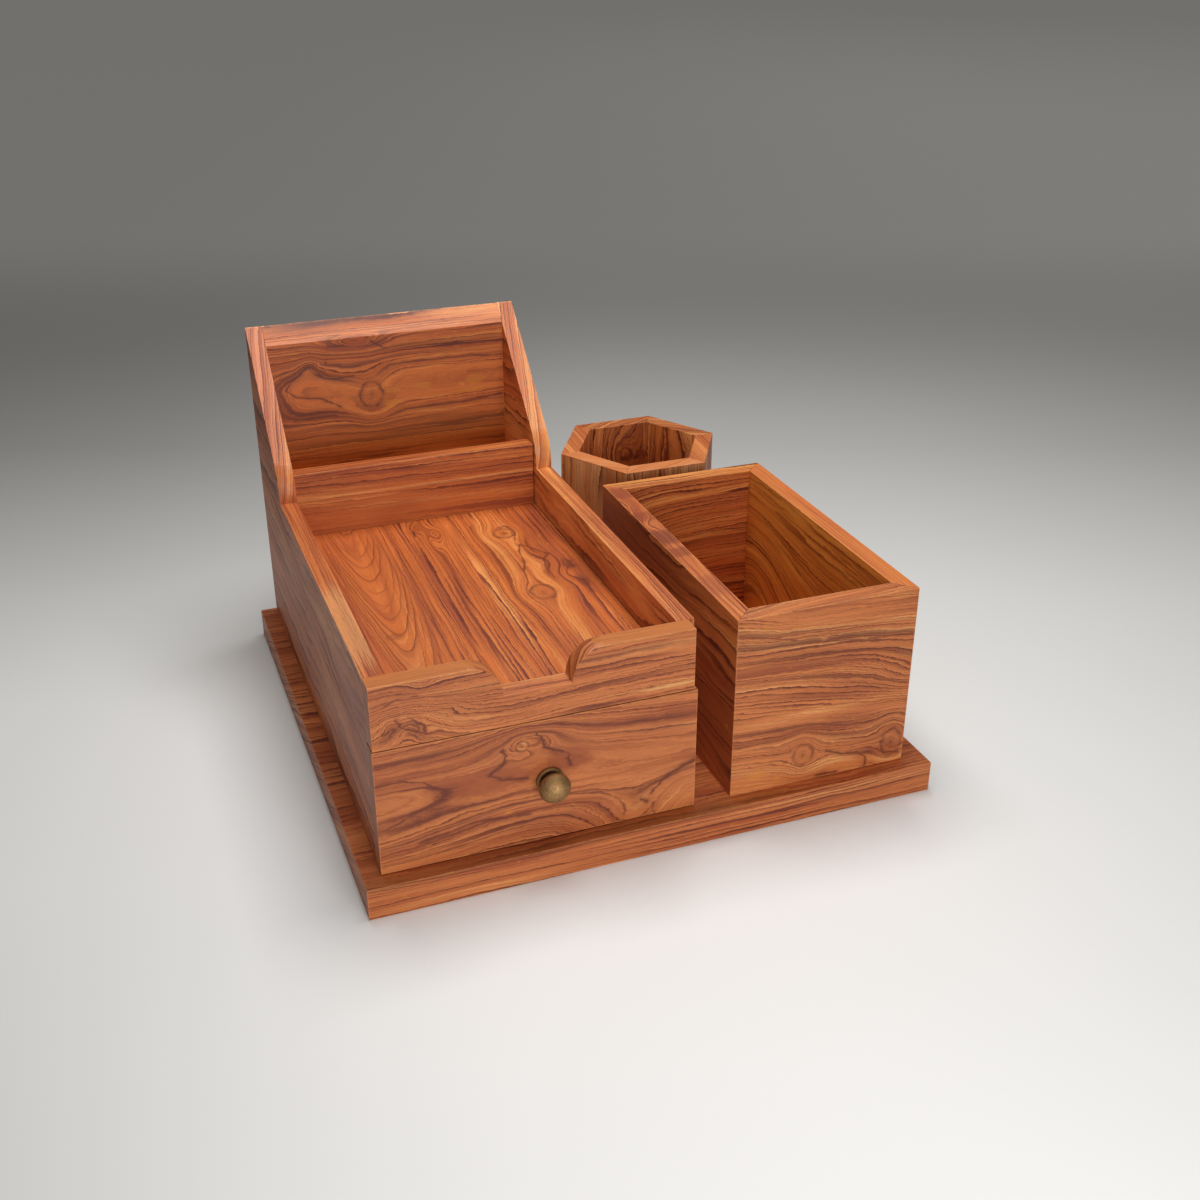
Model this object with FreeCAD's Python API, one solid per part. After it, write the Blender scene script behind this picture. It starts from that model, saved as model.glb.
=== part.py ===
import FreeCAD, Part
import math
import os

# Desk organizer: a drawer cabinet with paper tray and letter rack, an open box and a
# hexagonal pen cup on one base board. Millimetres, +X right, +Y to the back, +Z up.
# The origin is the middle of the base board's underside.

# Base board and how much of it shows round what stands on it
base_thickness = 18.0
base_front_margin = 9.7
base_back_margin = 3.0
base_left_margin = 10.0
base_right_margin = 13.5

# Drawer cabinet: outside sizes, boards and the paper tray on top
cabinet_width = 171.0
cabinet_depth = 307.3
side_board = 10.0
front_board = 11.0
back_board = 10.5
tray_edge_height = 107.0
tray_depth = 25.4
tray_floor_board = 9.6
panel_gap = 0.6

# Letter rack: the sides slope up to the back above a rounded knee
rack_depth = 75.4
rack_slope = math.radians(44.0)
knee_radius = 28.5
knee_drop = 2.5
divider_board = 10.0
divider_setback = 4.4
divider_height = 40.7

# Tray front with its finger scoop
tray_front_short = 3.5
scoop_width = 35.3
scoop_depth = 17.5

# Drawer front and the drawer box behind it
drawer_front_overhang = 0.5
drawer_front_short = 1.7
drawer_front_head_gap = 0.4
drawer_front_foot_gap = 0.5
drawer_closing_gap = 0.2
drawer_board = 8.0
drawer_side_clearance = 0.5
drawer_run_clearance = 0.3
drawer_head_room = 6.0
drawer_back_room = 10.0
corner_rebate = 4.0
back_housing = 3.0
back_setback = 6.0
drawer_bottom_board = 4.0
bottom_lift = 6.0
bottom_groove = 4.0
bottom_play = 0.3

# Knob and its stepped rosette
knob_offset = 4.0
knob_head_radius = 8.3
knob_head_half_length = 6.0
knob_head_standoff = 8.5
knob_head_rim_radius = 3.4
knob_neck_radius = 3.4
knob_neck_fillet = 1.2
knob_fillet_share = 0.8
rosette_radius = 7.4
rosette_thickness = 2.2
rosette_rim_radius = 0.9
rosette_step_radius = 5.0
rosette_step_height = 0.7
rosette_groove_width = 0.7
rosette_groove_depth = 0.6

# Open box
note_box_width = 106.0
note_box_height = 107.0
note_box_wall = 11.0
note_box_floor_board = 8.0
column_gap = 16.5
cup_box_gap = 20.9

# Hexagonal pen cup
cup_staves = ("right_back", "back", "left_back", "left_front", "front", "right_front")
cup_flats = 94.4
cup_height = 103.3
cup_wall = 11.0
cup_floor_board = 8.0
floor_play = 0.2

# Countersunk wood screws, the knob's machine screw and the dowels
screw_radius = 1.75
screw_head_radius = 3.5
screw_head_height = 1.8
screw_tip_length = 3.0
screw_slot_width = 0.9
screw_slot_depth = 0.8
screw_head_sink = 0.4
screw_play = 0.15
cabinet_screw_bite = 22.0
cabinet_screw_inset = 32.0
cabinet_screws_per_side = 2
floor_screw_bite = 6.0
floor_screw_inset = 32.0
cup_screw_circle = 24.0
cup_screw_count = 2
front_screw_bite = 7.0
front_screw_spacing = 90.0
bottom_screw_bite = 14.0
bottom_screw_spacing = 80.0
knob_screw_radius = 2.0
knob_screw_head_radius = 4.0
knob_screw_head_height = 2.6
knob_screw_head_rounding = 1.0
knob_screw_bite = 6.5
knob_screw_play = 0.2
dowel_radius = 2.5
dowel_reach = 14.0
dowel_skin = 4.0
dowel_play = 0.1
dowel_inset = 30.0
floor_dowels_per_side = 2
back_dowels_per_side = 2

X_AXIS = FreeCAD.Vector(1, 0, 0)
Y_AXIS = FreeCAD.Vector(0, 1, 0)
Z_AXIS = FreeCAD.Vector(0, 0, 1)

# Plan of the base: the cabinet stands left, the wider of box and cup sets the right column
cup_half_turn = math.pi / len(cup_staves)
cup_radius = cup_flats / 2 / math.cos(cup_half_turn)
column_width = max(note_box_width, 2 * cup_radius)
base_width = base_left_margin + cabinet_width + column_gap + column_width + base_right_margin
base_depth = base_front_margin + cabinet_depth + base_back_margin
base_left = -base_width / 2
base_front = -base_depth / 2
base_top = base_thickness

cabinet_left = base_left + base_left_margin
cabinet_right = cabinet_left + cabinet_width
inner_left = cabinet_left + side_board
inner_right = cabinet_right - side_board
front_face = base_front + base_front_margin
side_front = front_face + front_board
cabinet_back = front_face + cabinet_depth
back_panel_front = cabinet_back - back_board
step_y = cabinet_back - rack_depth

tray_edge = base_top + tray_edge_height
tray_floor_top = tray_edge - tray_depth
tray_floor_bottom = tray_floor_top - tray_floor_board
floor_right = inner_right - panel_gap

# The knee's arc ends plumb above the tray edge and runs up into the slope
knee_y = step_y + knee_radius
knee_z = tray_edge + knee_drop
knee_turn = math.pi / 2 - rack_slope
slope_y = knee_y - knee_radius * math.cos(knee_turn)
slope_z = knee_z + knee_radius * math.sin(knee_turn)
rack_top = slope_z + (cabinet_back - slope_y) * math.tan(rack_slope)
bevel_foot = rack_top - back_board * math.tan(rack_slope)

drawer_front_left = cabinet_left - drawer_front_overhang
drawer_front_right = cabinet_right - drawer_front_short
drawer_front_back = side_front - drawer_closing_gap
drawer_front_face = drawer_front_back - front_board
drawer_front_foot = base_top + drawer_front_foot_gap
drawer_front_head = tray_floor_bottom - drawer_front_head_gap
drawer_left = inner_left + drawer_side_clearance
drawer_right = inner_right - drawer_side_clearance
drawer_foot = base_top + drawer_run_clearance
drawer_head = tray_floor_bottom - drawer_head_room
drawer_back_end = back_panel_front - drawer_back_room
drawer_inner_left = drawer_left + drawer_board
drawer_inner_right = drawer_right - drawer_board
inner_front_back = drawer_front_back + drawer_board
drawer_back_rear = drawer_back_end - back_setback
drawer_back_front = drawer_back_rear - drawer_board
bottom_low = drawer_foot + bottom_lift
bottom_high = bottom_low + drawer_bottom_board
bottom_reach = bottom_groove - bottom_play
drawer_middle = (drawer_front_left + drawer_front_right) / 2
knob_x = drawer_middle + knob_offset
knob_z = (drawer_front_foot + drawer_front_head) / 2

note_right = base_left + base_width - base_right_margin
note_left = note_right - note_box_width
note_front = front_face
note_back = cabinet_back - cup_flats - cup_box_gap
cup_x = note_right - cup_radius
cup_y = cabinet_back - cup_flats / 2


def block(x0, x1, y0, y1, z0, z1):
    return Part.makeBox(x1 - x0, y1 - y0, z1 - z0, FreeCAD.Vector(x0, y0, z0))


def polygon_prism(points, travel):
    wire = Part.makePolygon(points + points[:1])
    return Part.Face(wire).extrude(travel)


def edges_prism(edges, travel):
    return Part.Face(Part.Wire(edges)).extrude(travel)


def line(a, b):
    return Part.LineSegment(a, b).toShape()


def arc(a, b, c):
    return Part.Arc(a, b, c).toShape()


def spread(low, high, count):
    # Places at the middles of equal shares of a length
    share = (high - low) / count
    return [low + share * (i + 0.5) for i in range(count)]


def turned(edges, axis, place):
    # Revolve a profile drawn in the XZ plane about Z, then lay Z on another axis at its place
    solid = Part.Face(Part.Wire(edges)).revolve(FreeCAD.Vector(), Z_AXIS)
    solid.Placement = FreeCAD.Placement(place, FreeCAD.Rotation(Z_AXIS, axis))
    return solid


def profile_lines(points):
    corners = [FreeCAD.Vector(r, 0, z) for r, z in points]
    return [line(a, b) for a, b in zip(corners, corners[1:])]


def without(shape, cutters):
    return shape.cut(Part.makeCompound(cutters))


def wood_screw(length, axis, place):
    # Countersunk screw with a slotted head, its head face at the place
    outline = [(0, 0), (screw_head_radius, 0), (screw_radius, screw_head_height),
               (screw_radius, length - screw_tip_length), (0, length), (0, 0)]
    screw = turned(profile_lines(outline), axis, place)
    slot = block(-screw_head_radius, screw_head_radius,
                 -screw_slot_width / 2, screw_slot_width / 2, 0, screw_slot_depth)
    slot.Placement = screw.Placement
    return screw.cut(slot)


def screw_pocket(length, axis, place):
    # Bore and countersink with play round the screw, open to the face that its head is sunk below
    bore = screw_radius + screw_play
    mouth_z = -screw_head_sink - screw_play
    flare = (screw_head_radius - screw_radius) / screw_head_height
    mouth = bore + flare * (screw_head_height - mouth_z)
    end = length + screw_play
    outline = [(0, mouth_z), (mouth, mouth_z), (bore, screw_head_height),
               (bore, end), (0, end), (0, mouth_z)]
    return turned(profile_lines(outline), axis, place)


def dowel(place, axis, length):
    return Part.makeCylinder(dowel_radius, length, place, axis)


def dowel_hole(place, axis, length):
    radius = dowel_radius + dowel_play
    return Part.makeCylinder(radius, length + 2 * dowel_play, place - axis * dowel_play, axis)


# Places of the screws that rise through the base board
def base_screw_place(x, y):
    return FreeCAD.Vector(x, y, screw_head_sink)


cabinet_screw_length = base_thickness - screw_head_sink + cabinet_screw_bite
floor_screw_length = base_thickness - screw_head_sink + floor_screw_bite
side_middles = [cabinet_left + side_board / 2, cabinet_right - side_board / 2]
cabinet_screw_step = (cabinet_back - side_front - 2 * cabinet_screw_inset) / (cabinet_screws_per_side - 1)
cabinet_screw_places = [
    base_screw_place(x, side_front + cabinet_screw_inset + i * cabinet_screw_step)
    for x in side_middles for i in range(cabinet_screws_per_side)]
note_screw_places = [
    base_screw_place((note_left + note_right) / 2, y)
    for y in (note_front + note_box_wall + floor_screw_inset, note_back - note_box_wall - floor_screw_inset)]
cup_screw_turns = [2 * math.pi * i / cup_screw_count for i in range(cup_screw_count)]
cup_screw_places = [
    base_screw_place(cup_x + cup_screw_circle * math.cos(a), cup_y + cup_screw_circle * math.sin(a))
    for a in cup_screw_turns]

# Places of the dowels: side to floor, side to back, floor to tray front
dowel_into_side = side_board - dowel_skin
floor_dowel_z = (tray_floor_top + tray_floor_bottom) / 2
side_dowels = []
for y in spread(side_front, back_panel_front, floor_dowels_per_side):
    side_dowels.append((y, floor_dowel_z))
back_dowels = []
for z in spread(base_top, bevel_foot, back_dowels_per_side):
    back_dowels.append((cabinet_back - back_board / 2, z))
front_dowel_places = [
    FreeCAD.Vector(x, side_front - (front_board - dowel_skin), floor_dowel_z)
    for x in (inner_left + dowel_inset, inner_right - dowel_inset)]
front_dowel_length = front_board - dowel_skin + dowel_reach
left_dowel_length = dowel_into_side + dowel_reach
right_dowel_length = left_dowel_length + panel_gap


def left_dowel_place(y, z):
    return FreeCAD.Vector(inner_left - dowel_into_side, y, z)


def right_dowel_place(y, z):
    return FreeCAD.Vector(inner_right + dowel_into_side, y, z)


def dowel_pairs(places, make):
    left = [make(left_dowel_place(y, z), X_AXIS, left_dowel_length) for y, z in places]
    right = [make(right_dowel_place(y, z), -X_AXIS, right_dowel_length) for y, z in places]
    return left + right


cabinet_pockets = [screw_pocket(cabinet_screw_length, Z_AXIS, p) for p in cabinet_screw_places]
note_pockets = [screw_pocket(floor_screw_length, Z_AXIS, p) for p in note_screw_places]
cup_pockets = [screw_pocket(floor_screw_length, Z_AXIS, p) for p in cup_screw_places]
floor_dowel_holes = dowel_pairs(side_dowels, dowel_hole)
back_dowel_holes = dowel_pairs(back_dowels, dowel_hole)
front_dowel_holes = [dowel_hole(p, Y_AXIS, front_dowel_length) for p in front_dowel_places]


def make_base_board():
    board = block(base_left, base_left + base_width, base_front, base_front + base_depth, 0, base_thickness)
    return without(board, cabinet_pockets + note_pockets + cup_pockets)


def make_side(outer_x):
    # Stepped side: plumb back, sloped rack front, rounded knee, level tray edge
    front_low = FreeCAD.Vector(outer_x, side_front, base_top)
    back_low = FreeCAD.Vector(outer_x, cabinet_back, base_top)
    back_high = FreeCAD.Vector(outer_x, cabinet_back, rack_top)
    knee_start = FreeCAD.Vector(outer_x, slope_y, slope_z)
    knee_middle = FreeCAD.Vector(outer_x, knee_y - knee_radius * math.cos(knee_turn / 2),
                                 knee_z + knee_radius * math.sin(knee_turn / 2))
    knee_end = FreeCAD.Vector(outer_x, step_y, knee_z)
    step = FreeCAD.Vector(outer_x, step_y, tray_edge)
    front_high = FreeCAD.Vector(outer_x, side_front, tray_edge)
    edges = [line(front_low, back_low), line(back_low, back_high), line(back_high, knee_start),
             arc(knee_start, knee_middle, knee_end), line(knee_end, step), line(step, front_high),
             line(front_high, front_low)]
    side = edges_prism(edges, X_AXIS * side_board)
    return without(side, cabinet_pockets + floor_dowel_holes + back_dowel_holes)


def make_back_panel():
    # The top is bevelled in line with the slope of the sides
    points = [FreeCAD.Vector(inner_left, back_panel_front, base_top),
              FreeCAD.Vector(inner_left, cabinet_back, base_top),
              FreeCAD.Vector(inner_left, cabinet_back, rack_top),
              FreeCAD.Vector(inner_left, back_panel_front, bevel_foot)]
    panel = polygon_prism(points, X_AXIS * (inner_right - inner_left))
    return without(panel, back_dowel_holes)


def make_tray_floor():
    floor = block(inner_left, floor_right, side_front, back_panel_front, tray_floor_bottom, tray_floor_top)
    return without(floor, floor_dowel_holes + front_dowel_holes)


def make_rack_divider():
    front = step_y + divider_setback
    return block(inner_left, floor_right, front, front + divider_board,
                 tray_floor_top, tray_floor_top + divider_height)


def make_tray_front():
    # Finger scoop with a flat bottom and quarter-round shoulders
    left = cabinet_left
    right = cabinet_right - tray_front_short
    middle = (left + right) / 2
    low = tray_floor_bottom
    high = tray_edge
    scoop_left = middle - scoop_width / 2
    scoop_right = middle + scoop_width / 2
    scoop_low = high - scoop_depth
    round_shift = scoop_depth * (1 - math.cos(math.pi / 4))

    def point(x, z):
        return FreeCAD.Vector(x, front_face, z)

    edges = [line(point(left, low), point(right, low)),
             line(point(right, low), point(right, high)),
             line(point(right, high), point(scoop_right + scoop_depth, high)),
             arc(point(scoop_right + scoop_depth, high),
                 point(scoop_right + round_shift, high - round_shift), point(scoop_right, scoop_low)),
             line(point(scoop_right, scoop_low), point(scoop_left, scoop_low)),
             arc(point(scoop_left, scoop_low),
                 point(scoop_left - round_shift, high - round_shift), point(scoop_left - scoop_depth, high)),
             line(point(scoop_left - scoop_depth, high), point(left, high)),
             line(point(left, high), point(left, low))]
    return without(edges_prism(edges, Y_AXIS * front_board), front_dowel_holes)


# Drawer fasteners: knob screw along -Y, two screws from inside into the front, two up into the back
knob_screw_seat = FreeCAD.Vector(knob_x, inner_front_back, knob_z)
knob_screw_length = drawer_board + front_board + rosette_thickness + rosette_step_height + knob_screw_bite
front_screw_length = drawer_board - screw_head_sink + front_screw_bite
front_screw_places = [
    FreeCAD.Vector(drawer_middle + side * front_screw_spacing / 2,
                   inner_front_back - screw_head_sink, knob_z)
    for side in (-1, 1)]
bottom_screw_length = drawer_bottom_board - screw_head_sink + bottom_screw_bite
bottom_screw_places = [
    FreeCAD.Vector(drawer_middle + side * bottom_screw_spacing / 2,
                   (drawer_back_front + drawer_back_rear) / 2, bottom_low + screw_head_sink)
    for side in (-1, 1)]
knob_screw_hole = Part.makeCylinder(knob_screw_radius + knob_screw_play,
                                    knob_screw_length + knob_screw_play, knob_screw_seat, -Y_AXIS)
front_pockets = [screw_pocket(front_screw_length, -Y_AXIS, p) for p in front_screw_places]
bottom_pockets = [screw_pocket(bottom_screw_length, Z_AXIS, p) for p in bottom_screw_places]


def make_drawer_front():
    board = block(drawer_front_left, drawer_front_right, drawer_front_face, drawer_front_back,
                  drawer_front_foot, drawer_front_head)
    return without(board, front_pockets + [knob_screw_hole])


def make_drawer_inner_front():
    # Rebated at both ends over the drawer sides, grooved for the bottom
    board = block(drawer_left, drawer_right, drawer_front_back, inner_front_back, drawer_foot, drawer_head)
    rebate_front = inner_front_back - corner_rebate
    rebates = [block(x, x + drawer_board, rebate_front, inner_front_back, drawer_foot, drawer_head)
               for x in (drawer_left, drawer_inner_right)]
    groove = block(drawer_inner_left - bottom_groove, drawer_inner_right + bottom_groove,
                   inner_front_back - bottom_groove, inner_front_back, bottom_low, bottom_high)
    return without(board, rebates + [groove] + front_pockets + [knob_screw_hole])


def make_drawer_side(x0, inner_x, into_side):
    # Groove for the bottom along the foot, upright housing for the back
    board = block(x0, x0 + drawer_board, inner_front_back - corner_rebate, drawer_back_end,
                  drawer_foot, drawer_head)
    groove_x = sorted((inner_x, inner_x + into_side * bottom_groove))
    housing_x = sorted((inner_x, inner_x + into_side * back_housing))
    groove = block(groove_x[0], groove_x[1], inner_front_back - corner_rebate, drawer_back_end,
                   bottom_low, bottom_high)
    housing = block(housing_x[0], housing_x[1], drawer_back_front, drawer_back_rear,
                    bottom_high, drawer_head)
    return without(board, [groove, housing])


def make_drawer_back():
    board = block(drawer_inner_left - back_housing, drawer_inner_right + back_housing,
                  drawer_back_front, drawer_back_rear, bottom_high, drawer_head)
    return without(board, bottom_pockets)


def make_drawer_bottom():
    # Slides in under the drawer back and lies in the grooves of sides and front
    panel = block(drawer_inner_left - bottom_reach, drawer_inner_right + bottom_reach,
                  inner_front_back - bottom_reach, drawer_back_end, bottom_low, bottom_high)
    return without(panel, bottom_pockets)


def make_knob():
    # Turned in one piece: straight neck, fillet, flat back, rounded rim running into a shallow dome
    seat = rosette_thickness + rosette_step_height
    head_back = knob_head_standoff - knob_head_rim_radius
    rim_centre = knob_head_radius - knob_head_rim_radius
    fillet_room = min(rim_centre - knob_neck_radius, head_back - seat)
    fillet = min(knob_neck_fillet, fillet_room * knob_fillet_share)
    bend = fillet * (1 - math.cos(math.pi / 4))
    apex = knob_head_standoff + knob_head_half_length
    # The dome's radius makes it meet the rim's round without a corner
    dome_radius = ((rim_centre ** 2 + knob_head_half_length ** 2 - knob_head_rim_radius ** 2)
                   / (2 * (knob_head_half_length - knob_head_rim_radius)))
    dome_centre = apex - dome_radius
    meet = math.atan2(knob_head_standoff - dome_centre, rim_centre)

    def on_dome(turn):
        return FreeCAD.Vector(dome_radius * math.cos(turn), 0, dome_centre + dome_radius * math.sin(turn))

    neck_top = FreeCAD.Vector(knob_neck_radius, 0, head_back - fillet)
    fillet_middle = FreeCAD.Vector(knob_neck_radius + bend, 0, head_back - bend)
    back_inner = FreeCAD.Vector(knob_neck_radius + fillet, 0, head_back)
    back_outer = FreeCAD.Vector(rim_centre, 0, head_back)
    rim = FreeCAD.Vector(knob_head_radius, 0, knob_head_standoff)
    top = FreeCAD.Vector(0, 0, apex)
    edges = profile_lines([(0, apex), (0, seat), (knob_neck_radius, seat), (knob_neck_radius, neck_top.z)])
    edges += [arc(neck_top, fillet_middle, back_inner), line(back_inner, back_outer),
              arc(back_outer, rim, on_dome(meet)),
              arc(on_dome(meet), on_dome((meet + math.pi / 2) / 2), top)]
    place = FreeCAD.Vector(knob_x, drawer_front_face, knob_z)
    return turned(edges, -Y_AXIS, place).cut(knob_screw_hole)


def make_knob_rosette():
    # Turned disc with a rounded rim, a groove and a raised step round the neck
    rim_inner = rosette_radius - rosette_rim_radius
    rim_foot = rosette_thickness - rosette_rim_radius
    bend = rosette_rim_radius * (1 - math.cos(math.pi / 4))
    groove_outer = rosette_step_radius + rosette_groove_width
    groove_floor = rosette_thickness - rosette_groove_depth
    step_top = rosette_thickness + rosette_step_height
    edges = profile_lines([(rim_inner, rosette_thickness), (groove_outer, rosette_thickness),
                           (groove_outer, groove_floor), (rosette_step_radius, groove_floor),
                           (rosette_step_radius, step_top), (0, step_top), (0, 0), (rosette_radius, 0),
                           (rosette_radius, rim_foot)])
    edges.append(arc(FreeCAD.Vector(rosette_radius, 0, rim_foot),
                     FreeCAD.Vector(rosette_radius - bend, 0, rosette_thickness - bend),
                     FreeCAD.Vector(rim_inner, 0, rosette_thickness)))
    place = FreeCAD.Vector(knob_x, drawer_front_face, knob_z)
    return turned(edges, -Y_AXIS, place).cut(knob_screw_hole)


def make_knob_screw():
    # Machine screw with a slotted pan head behind its seat
    head = -knob_screw_head_height
    crown = knob_screw_head_radius - knob_screw_head_rounding
    shoulder = head + knob_screw_head_rounding
    bend = knob_screw_head_rounding * (1 - math.cos(math.pi / 4))
    edges = profile_lines([(knob_screw_head_radius, shoulder), (knob_screw_head_radius, 0),
                           (knob_screw_radius, 0), (knob_screw_radius, knob_screw_length),
                           (0, knob_screw_length), (0, head), (crown, head)])
    edges.append(arc(FreeCAD.Vector(crown, 0, head),
                     FreeCAD.Vector(knob_screw_head_radius - bend, 0, head + bend),
                     FreeCAD.Vector(knob_screw_head_radius, 0, shoulder)))
    screw = turned(edges, -Y_AXIS, knob_screw_seat)
    slot = block(-knob_screw_head_radius, knob_screw_head_radius,
                 -screw_slot_width / 2, screw_slot_width / 2, head, head + screw_slot_depth)
    slot.Placement = screw.Placement
    return screw.cut(slot)


def mitred_wall(corners, inner_corners):
    # Board between two mitres, from its outside edge to its inside edge in plan
    plan = [corners[0], corners[1], inner_corners[1], inner_corners[0]]
    return polygon_prism(plan, Z_AXIS * note_box_height)


def make_note_box():
    def ring(inset):
        return [FreeCAD.Vector(note_left + inset, note_front + inset, base_top),
                FreeCAD.Vector(note_right - inset, note_front + inset, base_top),
                FreeCAD.Vector(note_right - inset, note_back - inset, base_top),
                FreeCAD.Vector(note_left + inset, note_back - inset, base_top)]

    outside = ring(0)
    inside = ring(note_box_wall)
    walls = {}
    for i, name in enumerate(("front", "right", "back", "left")):
        j = (i + 1) % len(outside)
        walls["note_box_" + name] = mitred_wall((outside[i], outside[j]), (inside[i], inside[j]))
    inset = note_box_wall + floor_play
    floor = block(note_left + inset, note_right - inset, note_front + inset, note_back - inset,
                  base_top, base_top + note_box_floor_board)
    walls["note_box_floor"] = without(floor, note_pockets)
    return walls


def hexagon(radius):
    # Corners at both ends of the X axis, so that two flats face front and back
    turns = [2 * cup_half_turn * i for i in range(len(cup_staves))]
    return [FreeCAD.Vector(cup_x + radius * math.cos(a), cup_y + radius * math.sin(a), base_top)
            for a in turns]


def make_pen_cup():
    corner_wall = cup_wall / math.cos(cup_half_turn)
    outside = hexagon(cup_radius)
    inside = hexagon(cup_radius - corner_wall)
    cup = {}
    for i, name in enumerate(cup_staves):
        j = (i + 1) % len(cup_staves)
        plan = [outside[i], outside[j], inside[j], inside[i]]
        cup["cup_stave_" + name] = polygon_prism(plan, Z_AXIS * cup_height)
    floor_radius = cup_radius - (cup_wall + floor_play) / math.cos(cup_half_turn)
    floor = polygon_prism(hexagon(floor_radius), Z_AXIS * cup_floor_board)
    cup["cup_floor"] = without(floor, cup_pockets)
    return cup


def group(solids):
    return Part.makeCompound(solids)


nodes = {
    "base_board": make_base_board(),
    "left_side": make_side(cabinet_left),
    "right_side": make_side(inner_right),
    "back_panel": make_back_panel(),
    "tray_floor": make_tray_floor(),
    "rack_divider": make_rack_divider(),
    "tray_front": make_tray_front(),
    "drawer_front": make_drawer_front(),
    "drawer_inner_front": make_drawer_inner_front(),
    "drawer_left_side": make_drawer_side(drawer_left, drawer_inner_left, -1),
    "drawer_right_side": make_drawer_side(drawer_inner_right, drawer_inner_right, 1),
    "drawer_back": make_drawer_back(),
    "drawer_bottom": make_drawer_bottom(),
    "knob": make_knob(),
    "knob_rosette": make_knob_rosette(),
    "knob_screw": make_knob_screw(),
    "drawer_front_screws": group([wood_screw(front_screw_length, -Y_AXIS, p) for p in front_screw_places]),
    "drawer_bottom_screws": group([wood_screw(bottom_screw_length, Z_AXIS, p) for p in bottom_screw_places]),
    "cabinet_screws": group([wood_screw(cabinet_screw_length, Z_AXIS, p) for p in cabinet_screw_places]),
    "note_box_screws": group([wood_screw(floor_screw_length, Z_AXIS, p) for p in note_screw_places]),
    "cup_screws": group([wood_screw(floor_screw_length, Z_AXIS, p) for p in cup_screw_places]),
    "tray_floor_dowels": group(dowel_pairs(side_dowels, dowel)),
    "back_panel_dowels": group(dowel_pairs(back_dowels, dowel)),
    "tray_front_dowels": group([dowel(p, Y_AXIS, front_dowel_length) for p in front_dowel_places]),
}
nodes.update(make_note_box())
nodes.update(make_pen_cup())

os.makedirs("parts", exist_ok=True)
for name, shape in nodes.items():
    shape.exportStep("parts/" + name + ".step")
    print(name, len(shape.Solids), "solid(s), volume", round(shape.Volume), "mm3, valid", shape.isValid())
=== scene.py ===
import math
import bpy
from mathutils import Matrix, Vector


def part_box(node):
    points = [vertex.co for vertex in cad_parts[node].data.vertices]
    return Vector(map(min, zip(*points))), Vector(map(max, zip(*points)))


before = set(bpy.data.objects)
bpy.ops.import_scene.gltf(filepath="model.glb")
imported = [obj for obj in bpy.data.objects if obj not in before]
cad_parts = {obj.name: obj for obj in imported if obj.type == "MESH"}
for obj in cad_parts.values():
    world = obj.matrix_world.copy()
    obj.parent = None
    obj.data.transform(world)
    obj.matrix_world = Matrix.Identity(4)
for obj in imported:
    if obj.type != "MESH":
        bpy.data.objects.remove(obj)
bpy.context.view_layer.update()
scene = bpy.context.scene
scene.view_settings.view_transform = "Standard"


def linear(hexColour):
    # sRGB hex to the linear RGBA that shader sockets take
    parts = [int(hexColour[i:i + 2], 16) / 255 for i in (1, 3, 5)]
    return [c / 12.92 if c <= 0.04045 else ((c + 0.055) / 1.055) ** 2.4 for c in parts] + [1.0]


def addNode(tree, kind, inputs=None, stops=None, **settings):
    # One shader node: settings are its own properties, inputs are values, nodes or sockets by name or
    # number, stops are the (place, colour) pairs of a ramp
    node = tree.nodes.new("ShaderNode" + kind)
    for name, value in settings.items():
        setattr(node, name, value)
    if stops:
        ramp = node.color_ramp.elements
        while len(ramp) < len(stops):
            ramp.new(1.0)
        for element, (place, colour) in zip(ramp, stops):
            element.position = place
            element.color = colour
    for key, value in (inputs or {}).items():
        if isinstance(value, bpy.types.Node):
            value = value.outputs[0]
        if isinstance(value, bpy.types.NodeSocket):
            tree.links.new(value, node.inputs[key])
        else:
            node.inputs[key].default_value = value
    return node


def newMaterial(name):
    material = bpy.data.materials.new(name)
    material.use_nodes = True
    material.node_tree.nodes.clear()
    return material, material.node_tree


axes = {"+x": Vector((1, 0, 0)), "-x": Vector((-1, 0, 0)), "+y": Vector((0, 1, 0)),
        "-y": Vector((0, -1, 0)), "+z": Vector((0, 0, 1)), "-z": Vector((0, 0, -1))}
mmPerM = 1000.0


def boardFrame(node, along, across):
    # Turn, shift and size that read a board in mm: s along the grain, u across the face and v through the
    # board, counted from the box corner where all three begin
    turn = Matrix((along, across, along.cross(across)))
    low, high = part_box(node)
    corners = [turn @ Vector((x, y, z))
               for x in (low.x, high.x) for y in (low.y, high.y) for z in (low.z, high.z)]
    start = Vector([min(corner[i] for corner in corners) for i in range(3)])
    end = Vector([max(corner[i] for corner in corners) for i in range(3)])
    return turn.to_euler(), -start * mmPerM, (end - start) * mmPerM


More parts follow.
